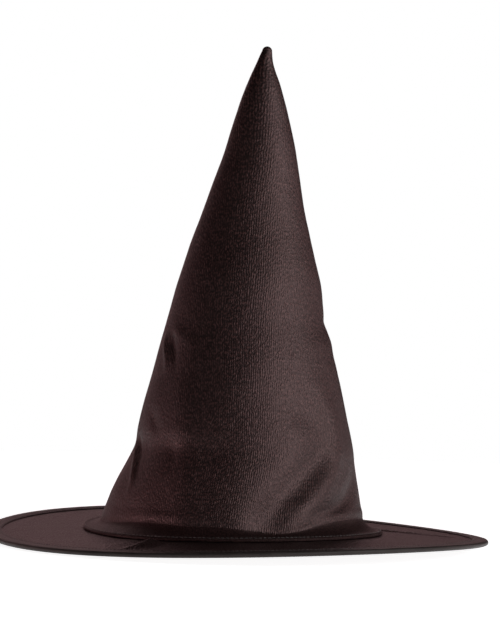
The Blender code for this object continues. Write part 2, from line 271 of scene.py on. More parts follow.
# ---- materials ----
class Look:
    """A node material under construction."""

    def __init__(self, name):
        self.material = bpy.data.materials.new(name)
        self.material.use_nodes = True
        self.tree = self.material.node_tree
        self.shader = self.tree.nodes["Principled BSDF"]

    def node(self, kind, **settings):
        made = self.tree.nodes.new(kind)
        for key, value in settings.items():
            setattr(made, key, value)
        return made

    def link(self, source, target):
        self.tree.links.new(source, target)

    def set(self, **values):
        for key, value in values.items():
            self.shader.inputs[key.replace("_", " ")].default_value = value

    def feed(self, **outputs):
        """Link outputs to the shader's inputs of the same names."""
        for key, output in outputs.items():
            self.link(output, self.shader.inputs[key.replace("_", " ")])

    def math(self, operation, first, second=None):
        made = self.node("ShaderNodeMath", operation=operation)
        for socket, value in zip(made.inputs, (first, second)):
            if value is None:
                continue
            if isinstance(value, (int, float)):
                socket.default_value = value
            else:
                self.link(value, socket)
        return made.outputs[0]

    def mix(self, first, share, second, other_share):
        """Two values added, each times its share."""
        return self.math("ADD", self.math("MULTIPLY", first, share),
                         self.math("MULTIPLY", second, other_share))

    def cut_place(self, along=1.0, across=1.0):
        """Coordinates on the flat cut, scaled."""
        place = self.node("ShaderNodeUVMap", uv_map="cut")
        mapping = self.node("ShaderNodeMapping")
        mapping.inputs["Scale"].default_value = (along, across, 1.0)
        self.link(place.outputs["UV"], mapping.inputs["Vector"])
        return mapping.outputs["Vector"]

    def object_place(self):
        return self.node("ShaderNodeTexCoord").outputs["Object"]

    def noise(self, vector, scale, detail=2.0, roughness=0.5):
        made = self.node("ShaderNodeTexNoise")
        made.inputs["Scale"].default_value = scale
        made.inputs["Detail"].default_value = detail
        made.inputs["Roughness"].default_value = roughness
        self.link(vector, made.inputs["Vector"])
        return made.outputs["Fac"]

    def ribs(self, vector, pitch, wander, wander_scale, axis="X"):
        """Height of fine ribs that lie side by side along one axis of the cut."""
        split = self.node("ShaderNodeSeparateXYZ")
        self.link(vector, split.inputs[0])
        drift = self.noise(vector, wander_scale, 1.0)
        phase = self.math("MULTIPLY", split.outputs[axis], 2 * math.pi / pitch)
        drift = self.math("MULTIPLY", drift, wander * 2 * math.pi)
        wave = self.math("SINE", self.math("ADD", phase, drift))
        return self.math("ADD", self.math("MULTIPLY", wave, 0.5), 0.5)

    def ramp(self, factor, stops):
        made = self.node("ShaderNodeValToRGB")
        self.link(factor, made.inputs[0])
        elements = made.color_ramp.elements
        elements[0].position, elements[1].position = stops[0][0], stops[-1][0]
        elements[0].color, elements[1].color = (*stops[0][1], 1), (*stops[-1][1], 1)
        for position, colour in stops[1:-1]:
            elements.new(position).color = (*colour, 1)
        return made.outputs[0]

    def range(self, factor, low, high):
        made = self.node("ShaderNodeMapRange")
        self.link(factor, made.inputs["Value"])
        made.inputs["To Min"].default_value = low
        made.inputs["To Max"].default_value = high
        return made.outputs["Result"]

    def bump(self, height, distance, below=None):
        made = self.node("ShaderNodeBump")
        made.inputs["Distance"].default_value = distance
        made.inputs["Strength"].default_value = 1.0
        self.link(height, made.inputs["Height"])
        if below is not None:
            self.link(below, made.inputs["Normal"])
        return made.outputs["Normal"]


def satin(name, dark, light, roughness, rib_share, bumps, specular, crinkles=(170.0, 110.0)):
    """Lustrous satin: broken ribs, short bright floats between them, a slow crinkle."""
    look = Look(name)
    cut = look.cut_place()
    ribs = look.ribs(cut, RIB_PITCH, 0.9, 160.0)
    floats = look.noise(look.cut_place(980.0, 500.0), 1.0, 0.0)
    patches = look.noise(look.cut_place(330.0, 380.0), 1.0, 1.0)
    crinkle = look.noise(look.cut_place(*crinkles), 1.0)
    shown = look.math("MULTIPLY", ribs, look.range(patches, -0.4, 1.4))
    grain = look.range(floats, -0.5, 1.5)
    weave = look.mix(shown, rib_share, grain, 1.0 - rib_share)
    rough = look.range(look.mix(weave, 0.6, crinkle, 0.4), *roughness)
    crinkle_bump, float_bump, rib_bump = bumps
    normal = look.bump(crinkle, crinkle_bump)
    normal = look.bump(floats, float_bump, below=normal)
    normal = look.bump(shown, rib_bump, below=normal)
    look.feed(Base_Color=look.ramp(weave, ((0.34, dark), (0.70, light))), Roughness=rough,
              Normal=normal)
    look.set(Specular_IOR_Level=specular, Specular_Tint=(1.0, 0.66, 0.65, 1.0))
    return look.material


def tape(name, dark, light, roughness, pitch):
    """Smooth folded tape with a tight plain weave."""
    look = Look(name)
    cut = look.cut_place()
    across = look.ribs(cut, pitch, 0.25, 200.0, "X")
    along = look.ribs(cut, pitch, 0.25, 200.0, "Y")
    weave = look.math("MAXIMUM", across, along)
    cloud = look.noise(look.cut_place(60.0, 300.0), 1.0)
    tone = look.mix(weave, 0.4, cloud, 0.6)
    look.feed(Base_Color=look.ramp(tone, ((0.25, dark), (0.80, light))),
              Roughness=look.range(cloud, *roughness),
              Normal=look.bump(weave, 0.00003, below=look.bump(cloud, 0.00025)))
    look.set(Specular_IOR_Level=0.20, Specular_Tint=(1.0, 0.92, 0.90, 1.0))
    return look.material


def felt(name, dark, light, grain_scale):
    """Matt bonded fibre, with flecks."""
    look = Look(name)
    place = look.object_place()
    fine = look.noise(place, grain_scale, 4.0, 0.65)
    broad = look.noise(place, grain_scale / 9.0, 2.0)
    tone = look.mix(fine, 0.6, broad, 0.4)
    look.feed(Base_Color=look.ramp(tone, ((0.35, dark), (0.68, light))),
              Roughness=look.range(fine, 0.82, 0.98), Normal=look.bump(fine, 0.0002))
    look.set(Specular_IOR_Level=0.25)
    return look.material


def twisted_thread(name, dark, light):
    look = Look(name)
    ply = look.noise(look.object_place(), 2600.0)
    look.feed(Base_Color=look.ramp(ply, ((0.35, dark), (0.65, light))),
              Roughness=look.range(ply, 0.42, 0.62), Normal=look.bump(ply, 0.00005))
    look.set(Sheen_Weight=0.2)
    return look.material


def drawn_metal(name, dark, light, roughness):
    look = Look(name)
    place = look.object_place()
    streak = look.noise(place, 900.0, 3.0, 0.7)
    stain = look.noise(place, 60.0, 3.0)
    tone = look.mix(streak, 0.5, stain, 0.5)
    look.feed(Base_Color=look.ramp(tone, ((0.3, dark), (0.7, light))),
              Roughness=look.range(streak, *roughness), Normal=look.bump(streak, 0.00003))
    look.set(Metallic=1.0)
    return look.material


# ---- the crown ----
FRONT_COLUMNS = 216
BACK_COLUMNS = 64
SKIRT_ROWS = 14
FRONT_REACH = 104.0
BRIM_TOP_MM = TOP_COVER_HIGH.z / MM
# unevenness of the cloth, height and spacing in millimetres; then what the back seam pulls in
SLACK = ((1.1, 62.0), (0.40, 24.0), (0.10, 9.0))
PUCKER = 0.25
SEAM_SINK = 0.9
FOOT_BULGE = 0.5
# the rounded point: share of the last ring's size, and rise above it in millimetres
TIP_DOME = ((0.93, 0.9), (0.74, 1.9), (0.42, 2.7))
TIP_RISE = 3.0
INTERLINING_HEIGHT = 0.340


def crown_angles(front=FRONT_COLUMNS, back=BACK_COLUMNS):
    """Column angles in degrees, closer together over the front than over the back."""
    near = np.linspace(-FRONT_REACH, FRONT_REACH, front, endpoint=False)
    far = np.linspace(FRONT_REACH, 360.0 - FRONT_REACH, back, endpoint=False)
    return np.concatenate([near, far])


def base_wall(angle, height):
    """Places on the smooth crown, for angles in degrees and heights in millimetres."""
    sides = curve_through(OUTLINE, height)
    left, right = sides[..., 0], sides[..., 1]
    middle, half = (left + right) / 2, (right - left) / 2
    share = curve_through(DEPTH_SHARE, height)[..., 0]
    turn = np.radians(angle)
    x = middle + half * np.sin(turn)
    y = -half * share * np.cos(turn)
    return np.stack(np.broadcast_arrays(x, y, height), axis=-1)


def fine_path(path, steps=40):
    """Fine points of a smooth path through its own points."""
    table = np.array(path, float)
    places = np.arange(len(table), dtype=float)
    return curve_through(np.column_stack([places, table]), np.linspace(0, len(table) - 1, steps))


def ridge(shape, path, width, tall, squared_distance):
    """A rounded ridge along a path, or a valley where tall is below 0."""
    best = np.full(shape, 1e9)
    strength = np.zeros(shape)
    for first, second, at_strength in fine_path(path):
        distance = squared_distance(first, second)
        closer = distance < best
        best = np.where(closer, distance, best)
        strength = np.where(closer, at_strength, strength)
    return tall * strength * np.exp(-best / (2 * (width / 1.6) ** 2))


def fold_height(angle, height, width, tall, path):
    """Height of one fold over a grid of the crown's angles and heights."""
    sides = curve_through(OUTLINE, height)
    reach = (sides[..., 1] - sides[..., 0]) / 2
    table = np.array(path, float)
    table[:, 0] = np.degrees(np.unwrap(np.radians(table[:, 0])))

    def squared_distance(at_angle, at_height):
        turn = np.radians((angle - at_angle + 180.0) % 360.0 - 180.0)
        return (reach * turn) ** 2 + (height - at_height) ** 2

    return ridge(angle.shape, table, width, tall, squared_distance)


def crown_relief(angle, height, places):
    """All that lifts the cloth off the smooth crown, in millimetres."""
    relief = np.zeros(angle.shape)
    for _, width, tall, path in FOLDS:
        relief += fold_height(angle, height, width, tall, path)
    low = smooth(height, 15.0, 60.0)
    high = 1.0 - smooth(height, 300.0, 365.0)
    (broad, broad_pitch), (middle, middle_pitch), (fine, fine_pitch) = SLACK
    relief += broad * high * ripple(places, broad_pitch, 1) * low
    relief += middle * high * ripple(places, middle_pitch, 2)
    relief += fine * ripple(places, fine_pitch, 3)
    turn = (angle + 360.0) % 360.0 - 180.0
    seam = np.abs(np.radians(turn)) * np.hypot(places[..., 0], places[..., 1])
    pucker = PUCKER * np.sin(height * 0.9) * np.exp(-(seam / 6.0) ** 2)
    relief += (pucker - SEAM_SINK * np.exp(-(seam / 1.6) ** 2)) * high
    relief += FOOT_BULGE * np.exp(-((height - 19.0) / 4.5) ** 2)
    return relief


def foot_wave(angle):
    """How far the crown's foot dips or rises round the hat, in millimetres."""
    return curve_through(FOOT_WAVE, (np.asarray(angle, float) + 90.0) % 360.0 - 90.0)[..., 0]


def seat_lift(x, y, height):
    """The set brim's lift under the crown: its shape at the foot fades out with height."""
    fade = 1.0 - smooth(height, FOOT_HEIGHT, 42.0)
    return CROWN_LIFT + (brim_lift(x, y) - CROWN_LIFT) * fade


def skirt_rows(count):
    """The flared foot: how far out from the wall, and how high, in millimetres."""
    start, middle = np.array((0.0, FOOT_HEIGHT)), np.array((2.2, 8.4))
    end = np.array((SKIRT_WIDTH, BRIM_TOP_MM + 2.3))
    rows = []
    for part in np.linspace(0, 1, count + 1)[1:]:
        row = (1 - part) ** 2 * start + 2 * part * (1 - part) * middle + part ** 2 * end
        row[1] += HEM_RISE * math.exp(-((part - 0.93) / 0.06) ** 2)
        rows.append(row)
    return rows


def skirt_point(angle, out, height):
    """A place on the flared foot; its own circle is round and keeps the flange's centre."""
    turn = np.radians(angle)
    foot = base_wall(angle, np.full(angle.shape, FOOT_HEIGHT))
    edge_x = CROWN_CENTRE_X / MM + FLANGE_RADIUS / MM * np.sin(turn)
    edge_y = -FLANGE_RADIUS / MM * np.cos(turn)
    share = out / SKIRT_WIDTH
    x = foot[..., 0] + (edge_x - foot[..., 0]) * share
    y = foot[..., 1] + (edge_y - foot[..., 1]) * share
    return np.stack(np.broadcast_arrays(x, y, height), axis=-1)


def crown_surface(angles, heights, skirt_count):
    """Outer surface of the crown from its tip down to the flange, as a grid in metres."""
    angle, height = np.meshgrid(angles, heights)
    places = base_wall(angle, height)
    relief = crown_relief(angle, height, places)
    normals = grid_normals(places)
    wall = places + normals * relief[..., None]
    wave = foot_wave(angles)
    wall[..., 2] += wave * (1.0 - smooth(height, FOOT_HEIGHT, WAVE_TOP))
    rings = [wall]
    last_relief = relief[-1]
    for out, z in skirt_rows(skirt_count):
        ring = skirt_point(angles, out, z)
        fade = 1.0 - smooth(out, 0.0, 0.8 * SKIRT_WIDTH)
        ring[..., 2] += wave * (1.0 - out / SKIRT_WIDTH) ** 2
        ring[..., 0] += normals[-1, :, 0] * last_relief * fade
        ring[..., 1] += normals[-1, :, 1] * last_relief * fade
        rings.append(ring[None])
    skin = np.concatenate(rings) * MM
    skin[..., 2] += seat_lift(skin[..., 0], skin[..., 1], skin[..., 2] / MM)
    return skin


def cut_coordinates(angle, height):
    """Where a place on the cone lies on its flat cut, in metres: a sector, centre front up."""
    slant = (TIP_TOP - height) / math.cos(math.atan(CONE_RADIUS / TIP_TOP)) * MM
    spread = np.radians(angle) * CONE_RADIUS / math.hypot(CONE_RADIUS, TIP_TOP)
    return np.stack([slant * np.sin(spread), -slant * np.cos(spread)], axis=-1)


def seam_uv(piece, angles, rings, heights):
    """UV map of the crown's cut, split at the back seam so that no face spans it."""
    turned = (angles + 180.0) % 360.0 - 180.0
    columns = len(angles)
    layer = piece.data.uv_layers.new(name="cut")
    values = np.zeros((len(piece.data.loops), 2), np.float32)
    base = 0
    for polygon in piece.data.polygons:
        corners = [piece.data.loops[i].vertex_index for i in polygon.loop_indices]
        turn = np.array([turned[v % columns] if v < rings * columns else 0.0 for v in corners])
        if turn.max() - turn.min() > 180.0:
            turn = np.where(turn < 0, turn + 360.0, turn)
        tall = np.array([heights[v // columns] if v < rings * columns else TIP_TOP for v in corners])
        values[base:base + len(corners)] = cut_coordinates(turn, tall)
        base += len(corners)
    layer.data.foreach_set("uv", values.ravel())


def wall_heights(spacing_low, spacing_high, top):
    low = np.arange(FOOT_HEIGHT, 120.0, spacing_low)
    high = np.arange(120.0, top, spacing_high)
    return np.concatenate([low, high, [top]])[::-1]


def make_crown_shell(look, shaded_foot_look):
    angles = crown_angles()
    columns = len(angles)
    heights = wall_heights(1.6, 2.1, TIP_HEIGHT)
    skin = crown_surface(angles, heights, SKIRT_ROWS)
    normals = grid_normals(skin)
    edge = skin[-1]
    roll = [edge + normals[-1] * 0.0002 + np.array((0, 0, -0.0007)),
            edge - np.array((0, 0, 0.0016)) - normals[-1] * np.array((1, 1, 0)) * 0.0003]
    inside = (skin - normals * CROWN_CLOTH)[::-2]
    tip = skin[0].mean(axis=0)
    dome = []
    for share, rise in TIP_DOME:
        dome.append(tip + (skin[0] - tip) * share + np.array((0, 0, rise * MM)))
    inner_tip = inside[-1].mean(axis=0) + np.array((0, 0, 0.0004))
    rings = dome[::-1] + list(skin) + roll + list(inside)
    below = np.concatenate([heights, FOOT_HEIGHT - 2.0 * np.arange(1, SKIRT_ROWS + 1)])
    ring_heights = [TIP_TOP] * len(dome) + list(below) + [-3.0, -4.0] + list(below[::-2])
    points = np.concatenate([np.array(rings).reshape(-1, 3),
                             [tip + np.array((0, 0, TIP_RISE * MM)), inner_tip]])
    faces = ring_faces(len(rings), columns)
    cap_fans(faces, len(points) - 2, len(points) - 1, (len(rings) - 1) * columns, columns)
    piece = make_mesh("satin_crown", points, faces, look, 70.0)
    # the flared foot's faces take the darker copy of the satin, which is painted shade
    piece.data.materials.append(shaded_foot_look)
    foot_start = (len(dome) + len(heights)) * columns
    foot_end = foot_start + (SKIRT_ROWS + len(roll)) * columns
    for polygon in piece.data.polygons:
        if foot_start <= min(polygon.vertices) and max(polygon.vertices) < foot_end:
            polygon.material_index = 1
    seam_uv(piece, angles, len(rings), ring_heights)
    settle(piece, "crown_satin", "crown_shell")
    return piece


# ---- the brim ----
BRIM_SLACK = (0.22, 0.12)


def brim_sheet(name, look, low, thickness, inner, outer, rows, columns, relief=None):
    """A flat ring of cloth that follows the brim's set, with a little relief on top."""
    radii = np.linspace(inner, outer, rows)
    turns = full_turn(columns)
    radius, turn = np.meshgrid(radii, turns, indexing="ij")
    top = brim_point(radius, turn, low + thickness)
    under = brim_point(radius, turn, low)
    if relief is not None:
        shift = relief(top)
        top[..., 2] += shift
        under[..., 2] += shift
    rings = np.concatenate([top, under[::-1]])
    points = rings.reshape(-1, 3)
    faces = ring_faces(len(rings), columns, close_rings=True)
    piece = make_mesh(name, points, [f[::-1] for f in faces], look, 60.0)
    add_uv(piece, "cut", points[:, :2])
    return piece


def top_cover_relief(points):
    """Slack in the brim's top satin, a pinch at the front left and a crease at the right."""
    broad, fine = BRIM_SLACK
    places = points / MM
    slack = broad * (1.0 + ripple(places, 21.0, 11)) + fine * (1.0 + ripple(places, 6.0, 12))
    x, y = places[..., 0], places[..., 1]
    for _, width, tall, path in BRIM_FOLDS:
        slack += ridge(x.shape, path, width, tall, lambda at_x, at_y: (x - at_x) ** 2 + (y - at_y) ** 2)
    edge = smooth(COVER_EDGE_RADIUS / MM - np.hypot(x, y), 6.0, 16.0)
    return np.maximum(slack, 0.0) * edge * MM


def make_covers(look):
    thickness = TOP_COVER_HIGH.z - TOP_COVER_LOW.z
    top = brim_sheet("satin_brim_top", look, TOP_COVER_LOW.z, thickness, OPENING_RADIUS,
                     COVER_EDGE_RADIUS, 84, 520, top_cover_relief)
    settle(top, "brim_satin", "brim_top_cover")
    under = brim_sheet("satin_brim_underside", look, BOTTOM_COVER_LOW.z, thickness,
                       OPENING_RADIUS, COVER_EDGE_RADIUS, 30, 240)
    settle(under, "brim_satin", "brim_bottom_cover")


def make_board(look):
    piece = brim_sheet("brim_board", look, STIFFENER_LOW.z, STIFFENER_HIGH.z - STIFFENER_LOW.z,
                       OPENING_RADIUS, COVER_EDGE_RADIUS, 16, 180)
    return settle(piece, "stiffener", "brim_stiffener")


# how far the rolled edge stands above the flat of its tape: angle from +X and millimetres
ROLL_PROUD = (
    (0, 0.4), (45, 0.8), (90, 1.0), (135, 0.9), (180, 0.9), (225, 0.2), (270, 0.1), (315, 0.2), (360, 0.4),
)
ROLL_START = 0.004
ROLL_RADIUS = 0.0018


def binding_profile():
    """The tape's section, radius and height: along the top, round the roll, back under."""
    roll = ROLL_RADIUS
    middle = BRIM_RADIUS - roll
    flat_end = COVER_EDGE_RADIUS - 0.001
    outer = [(BINDING_INNER_RADIUS, BINDING_TOP - 0.00010),
             (BINDING_INNER_RADIUS + 0.0006, BINDING_TOP)]
    outer += [(r, BINDING_TOP) for r in np.linspace(BINDING_INNER_RADIUS + 0.002, flat_end, 5)]
    outer += [(middle + roll * math.sin(t), BRIM_MIDDLE + roll * math.cos(t))
              for t in np.linspace(0, math.pi, 15)]
    outer += [(r, 0.0) for r in np.linspace(flat_end, BINDING_INNER_RADIUS, 6)]
    inner_roll = roll - BINDING_CLOTH
    inner = [(BINDING_INNER_RADIUS, BINDING_CLOTH), (flat_end, BINDING_CLOTH)]
    inner += [(middle + inner_roll * math.sin(t), BRIM_MIDDLE - inner_roll * math.cos(t))
              for t in np.linspace(0, math.pi, 9)]
    inner += [(flat_end, BINDING_TOP - BINDING_CLOTH),
              (BINDING_INNER_RADIUS, BINDING_TOP - BINDING_CLOTH)]
    return outer, inner


def make_binding(look):
    columns = 480
    outer, inner = binding_profile()
    turns = full_turn(columns)
    lengths = np.concatenate([[0], np.cumsum(np.hypot(*np.diff(np.array(outer), axis=0).T))])
    rings = np.array([brim_point(radius, turns, z) for radius, z in outer + inner])
    radii, tall = np.array(outer + inner).T
    puff = np.clip((radii - BINDING_INNER_RADIUS - ROLL_START) / ROLL_START, 0.0, 1.0)
    puff *= smooth(tall, 0.0, BINDING_TOP)
    proud = curve_through(ROLL_PROUD, np.degrees(turns))[..., 0] * MM
    rings[..., 2] += puff[:, None] * proud
    normals = grid_normals(rings)
    wave = ripple(rings / MM, 26.0, 21) * 0.00012 + ripple(rings / MM, 6.0, 22) * 0.00005
    mask = np.zeros(len(rings))
    mask[1:20] = 1.0
    rings = rings - normals * (np.minimum(wave, 0.0) * mask[:, None])[..., None]
    points = rings.reshape(-1, 3)
    faces = ring_faces(len(rings), columns, close_rings=True)
    piece = make_mesh("bound_edge", points, faces, look, 60.0)
    along = np.tile(turns * BRIM_RADIUS, len(rings))
    across = np.concatenate([lengths, np.linspace(lengths[-1], 0, len(inner))])
    add_uv(piece, "cut", np.column_stack([along, np.repeat(across, columns)]))
    settle(piece, "binding", "brim_edge_binding")
    return piece


def round_rings(path, side, over, radius, sides):
    """A circle of points round each point of a path, in the plane of side and over."""
    turns = full_turn(sides)[None, :, None]
    offsets = side[:, None] * np.cos(turns) + over[:, None] * np.sin(turns)
    return path[:, None] + offsets * radius[:, None, None]


def tube_rings(path, radius, sides):
    """Rings of a round tube along a path of points."""
    tangent = np.gradient(path, axis=0)
    tangent /= np.linalg.norm(tangent, axis=1, keepdims=True)
    up = np.array((0.0, 0.0, 1.0))
    side = np.cross(tangent, up)
    side /= np.maximum(np.linalg.norm(side, axis=1, keepdims=True), 1e-9)
    return round_rings(path, side, np.cross(side, tangent), np.broadcast_to(radius, len(path)), sides)


def tube(name, path, radius, look, sides=10):
    rings = tube_rings(path, radius, sides)
    faces = ring_faces(len(rings), sides)
    points = np.concatenate([rings.reshape(-1, 3), rings[[0, -1]].mean(axis=1)])
    cap_fans(faces, len(points) - 2, len(points) - 1, (len(rings) - 1) * sides, sides)
    return make_mesh(name, points, [f[::-1] for f in faces], look, 60.0)


WIRE_END_GAP = 0.0005
SLEEVE_GAP = 0.0001
SLEEVE_SIDES = 20
CRIMP_DEPTH = 0.12


def make_wire(wire_look, joiner_look):
    gap = WIRE_END_GAP / WIRE_RING_RADIUS
    turns = np.linspace(math.pi / 2 + gap, 2.5 * math.pi - gap, 361)
    path = brim_point(WIRE_RING_RADIUS, turns, BRIM_MIDDLE)
    settle(tube("spring_wire", path, WIRE_RADIUS, wire_look), "wire_steel", "brim_wire")
    reach = (JOINER_HIGH.x - JOINER_LOW.x) / 2 / WIRE_RING_RADIUS
    outer = (JOINER_HIGH.z - JOINER_LOW.z) / 2
    crimps = np.linspace(-reach, reach, 33)
    centre = brim_point(WIRE_RING_RADIUS, math.pi / 2 + crimps, BRIM_MIDDLE)
    pinch = 1.0 - CRIMP_DEPTH * np.exp(-((np.abs(crimps) / reach - 0.5) / 0.14) ** 2)
    bore = tube_rings(centre, WIRE_RADIUS + SLEEVE_GAP, SLEEVE_SIDES)
    rings = np.concatenate([tube_rings(centre, outer * pinch, SLEEVE_SIDES), bore[::-1]])
    faces = [f[::-1] for f in ring_faces(len(rings), SLEEVE_SIDES, close_rings=True)]
    piece = make_mesh("wire_crimp", rings.reshape(-1, 3), faces, joiner_look, 50.0)
    settle(piece, "joiner_metal", "brim_wire_joiner")


# ---- stitches ----
THREAD = 0.00026
FINE_THREAD = 0.00024
BINDING_PITCH = 0.0031
FOOT_PITCH = 0.0034
SEAM_PITCH = 0.0030
BAND_PITCH = 0.0034
PATH_POINTS = 720
STITCH_SIDES = 6
STITCH_CUTS = 7
STITCH_FILL = 0.74
STITCH_SHARE = 0.90
STITCH_INSET = 0.0014
HEM_SLOPE = math.radians(22)


def points_at(at, places, points):
    """Points between the given ones, by their places along a line."""
    return np.stack([np.interp(at, places, points[:, axis]) for axis in range(3)], axis=1)


def stitch_row(name, look, path, normals, pitch, thread, closed=True):
    """Separate stitches along a fine path: each rises from the cloth, runs and dips back."""
    path = np.asarray(path)
    if closed:
        path = np.concatenate([path, path[:1]])
        normals = np.concatenate([normals, normals[:1]])
    steps = np.linalg.norm(np.diff(path, axis=0), axis=1)
    lengths = np.concatenate([[0], np.cumsum(steps)])
    count = int(lengths[-1] / pitch)
    pitch = lengths[-1] / count
    points, faces = [], []
    profile = np.sin(np.linspace(0, math.pi, STITCH_CUTS)) ** 0.5
    for i in range(count):
        at = (i + 0.5) * pitch + np.linspace(-0.5, 0.5, STITCH_CUTS) * STITCH_FILL * pitch
        centre = points_at(at, lengths, path)
        normal = points_at(at, lengths, normals)
        rise = (profile * 1.1 - 0.55) * thread
        centre = centre + normal * rise[:, None]
        swell = thread * (0.55 + 0.45 * profile)
        along = np.gradient(centre, axis=0)
        along /= np.linalg.norm(along, axis=1, keepdims=True)
        side = np.cross(along, normal)
        side /= np.linalg.norm(side, axis=1, keepdims=True)
        ring = round_rings(centre, side, np.cross(side, along), swell, STITCH_SIDES)
        base = len(points)
        points.extend(ring.reshape(-1, 3))
        faces.extend(tuple(base + v for v in f[::-1]) for f in ring_faces(STITCH_CUTS, STITCH_SIDES))
        faces.append(tuple(base + j for j in range(STITCH_SIDES)))
        faces.append(tuple(base + (STITCH_CUTS - 1) * STITCH_SIDES + j
                           for j in reversed(range(STITCH_SIDES))))
    return make_mesh(name, points, faces, look, 80.0)


def brim_stitches(name, look, radius, z, up, node):
    path = brim_point(radius, full_turn(PATH_POINTS), z)
    normals = np.tile(np.array((0.0, 0.0, up)), (PATH_POINTS, 1))
    piece = stitch_row(name, look, path, normals, BINDING_PITCH, THREAD)
    return settle(piece, "thread", node)


def make_foot_stitches(look):
    angles = np.linspace(-180, 180, PATH_POINTS, endpoint=False)
    out = SKIRT_WIDTH * STITCH_SHARE
    rows = np.array(skirt_rows(40))
    z = np.interp(out, rows[:, 0], rows[:, 1])
    path = skirt_point(angles, out, z) * MM
    path[:, 2] += seat_lift(path[:, 0], path[:, 1], path[:, 2] / MM)
    turn = np.radians(angles)
    normals = np.stack([np.sin(turn) * math.sin(HEM_SLOPE), -np.cos(turn) * math.sin(HEM_SLOPE),
                        np.full(PATH_POINTS, math.cos(HEM_SLOPE))], axis=1)
    piece = stitch_row("foot_stitches", look, path, normals, FOOT_PITCH, THREAD)
    return settle(piece, "thread", "foot_stitching")


# ---- inside the hat ----
BAND_LEAN = 0.0029
BAND_CLOTH = 0.0006
BAND_STITCH_RISE = 0.0022
LABEL_CLOTH = 0.00022
INTERLINING_TOP = 352.0


def make_interlining(look):
    angles = crown_angles(150, 48)
    heights = wall_heights(3.0, 4.0, INTERLINING_TOP)
    angle, height = np.meshgrid(angles, heights)
    places = base_wall(angle, height)
    relief = crown_relief(angle, height, places)
    normals = grid_normals(places)
    skin = (places + normals * relief[..., None]) * MM
    skin[..., 2] += foot_wave(angles) * (1.0 - smooth(height, FOOT_HEIGHT, WAVE_TOP)) * MM
    skin[..., 2] += seat_lift(skin[..., 0], skin[..., 1], height)
    normals = grid_normals(skin)
    outer = skin - normals * (CROWN_CLOTH + LINING_GAP)
    inner = outer - normals * INTERLINING_CLOTH
    rings = np.concatenate([outer, inner[::-1]])
    points = rings.reshape(-1, 3)
    columns = len(angles)
    tips = np.array([outer[0].mean(0) + (0, 0, 0.005), inner[0].mean(0) + (0, 0, 0.0025)])
    points = np.concatenate([points, tips])
    faces = ring_faces(len(rings), columns)
    cap_fans(faces, len(points) - 2, len(points) - 1, (len(rings) - 1) * columns, columns)
    piece = make_mesh("stiff_interlining", points, faces, look, 70.0)
    settle(piece, "interlining", "crown_interlining")
    return inner, angles, heights


def make_seam_inside(cloth_look, thread_look, inner, angles, heights):
    """The back seam's two pressed-open allowances, and the thread between them."""
    back = int(np.argmin(np.abs((angles % 360.0) - 180.0)))
    line = inner[:, back]
    use = (heights > WAVE_TOP) & (heights < INTERLINING_HEIGHT / MM)
    line = line[use][::-1]
    toward = np.array((0.0, -1.0, 0.0))
    across = np.array((1.0, 0.0, 0.0))
    points, faces = [], []
    profile = ((0.0003, 0.0016), (0.004, 0.0011), (0.0080, 0.0014), (0.0080, 0.0019),
               (0.004, 0.0016), (0.0003, 0.0021))
    for mirror in (1.0, -1.0):
        base = len(points)
        for place in line:
            half = max(abs(place[1]), 0.001)
            for side, depth in profile:
                taper = min(1.0, half / 0.03)
                bow = (side * taper) ** 2 / (2 * half)
                points.append(place + across * side * mirror * taper + toward * (depth + bow))
        sides = len(profile)
        strip = ring_faces(len(line), sides)
        strip += [tuple(range(sides)), tuple((len(line) - 1) * sides + j for j in reversed(range(sides)))]
        faces += [tuple(base + v for v in (f if mirror > 0 else f[::-1])) for f in strip]
    piece = make_mesh("seam_allowance", points, faces, cloth_look, 60.0)
    add_uv(piece, "cut", np.array(points)[:, [0, 2]])
    settle(piece, "crown_satin")
    path = line + toward * 0.0018
    path = points_at(np.linspace(0, len(path) - 1, 400), np.arange(len(path)), path)
    normals = np.tile(toward, (400, 1))
    stitches = stitch_row("seam_stitches", thread_look, path, normals, SEAM_PITCH, FINE_THREAD,
                          closed=False)
    settle(stitches, "thread", "crown_seam_stitching")


def band_profile():
    """The sweatband's outer face, radius and height, bottom to top."""
    low, high = SWEATBAND_LOW.z, SWEATBAND_HIGH.z
    return [(SWEATBAND_RADIUS - BAND_LEAN * smooth(z, high / 2, high), z)
            for z in np.linspace(low, high, 16)]


def band_point(radius, turn, z):
    """A place on the band, kept inside the crown's lining where a fold comes in."""
    level = max(z / MM, FOOT_HEIGHT)
    angle = np.arange(-180.0, 180.0, 1.5)
    angles, heights = np.meshgrid(angle, level + np.array((8.0, 6.0, 4.0, 2.0, 0.0)))
    places = base_wall(angles, heights)
    relief = crown_relief(angles, heights, places)
    wall = (places + grid_normals(places) * relief[..., None]) * MM
    room = radius
    for ring in wall:
        around = np.degrees(np.arctan2(ring[:, 1], ring[:, 0] - CROWN_CENTRE_X))
        reach = np.hypot(ring[:, 0] - CROWN_CENTRE_X, ring[:, 1])
        order = np.argsort(around)
        limit = np.interp(np.degrees(turn), around[order], reach[order], period=360.0)
        room = np.minimum(room, limit - LINED_WALL)
    x = CROWN_CENTRE_X + room * np.cos(turn)
    y = room * np.sin(turn)
    return np.stack(np.broadcast_arrays(x, y, z + seat_lift(x, y, z / MM)), axis=-1)


